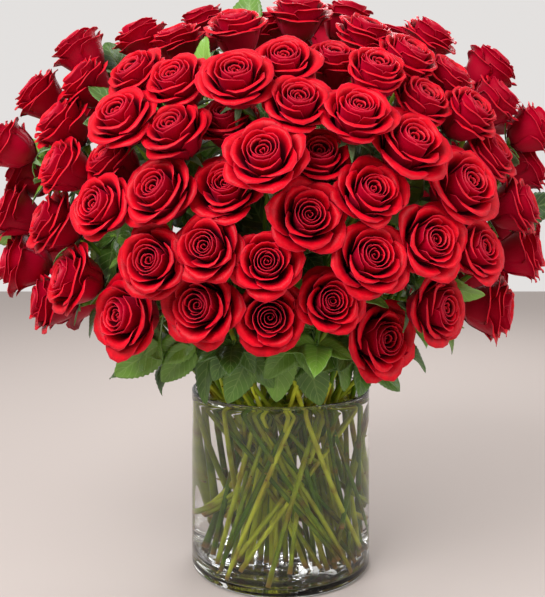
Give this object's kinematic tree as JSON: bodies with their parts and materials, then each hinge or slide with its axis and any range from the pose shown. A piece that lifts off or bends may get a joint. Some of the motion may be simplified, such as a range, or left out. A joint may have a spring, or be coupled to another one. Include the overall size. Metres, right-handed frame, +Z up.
{
  "type": "roses in a vase",
  "caption": "Full rounded bouquet of red roses with leaves, their stems standing in water in a clear glass cylinder vase.",
  "frame": {"origin": "centre of the vase's flat base, on the surface it stands on", "axes": "+Z up along the vase's axis, -Y towards the side that the picture shows, +X to its right"},
  "size_m": [0.6567, 0.4727, 0.6376],
  "materials": {
    "glass": "clear and polished",
    "water": "clear water",
    "greenery": "satin stems and leaves",
    "petals": "soft velvet sheen"
  },
  "bodies": {
    "root": {"vase": "glass", "water": "water", "stems_and_leaves": "greenery", "roses_01": "petals", "roses_02": "petals", "roses_03": "petals", "roses_04": "petals", "roses_05": "petals", "roses_06": "petals", "roses_07": "petals", "roses_08": "petals", "roses_09": "petals", "roses_10": "petals", "roses_11": "petals", "roses_12": "petals", "roses_13": "petals", "roses_14": "petals", "roses_15": "petals", "roses_16": "petals", "roses_17": "petals", "roses_18": "petals", "roses_19": "petals", "roses_20": "petals", "roses_21": "petals", "roses_22": "petals", "roses_23": "petals", "roses_24": "petals", "roses_25": "petals", "roses_26": "petals", "roses_27": "petals", "roses_28": "petals", "roses_29": "petals", "roses_30": "petals", "roses_31": "petals", "roses_32": "petals", "roses_33": "petals", "roses_34": "petals", "roses_35": "petals", "roses_36": "petals", "roses_37": "petals", "roses_38": "petals", "roses_39": "petals", "roses_40": "petals", "roses_41": "petals", "roses_42": "petals", "roses_43": "petals", "roses_44": "petals", "roses_45": "petals", "roses_46": "petals", "roses_47": "petals", "roses_48": "petals", "roses_49": "petals", "roses_50": "petals", "roses_51": "petals", "roses_52": "petals", "roses_53": "petals", "roses_54": "petals", "roses_55": "petals", "roses_56": "petals"}
  },
  "joints": []
}
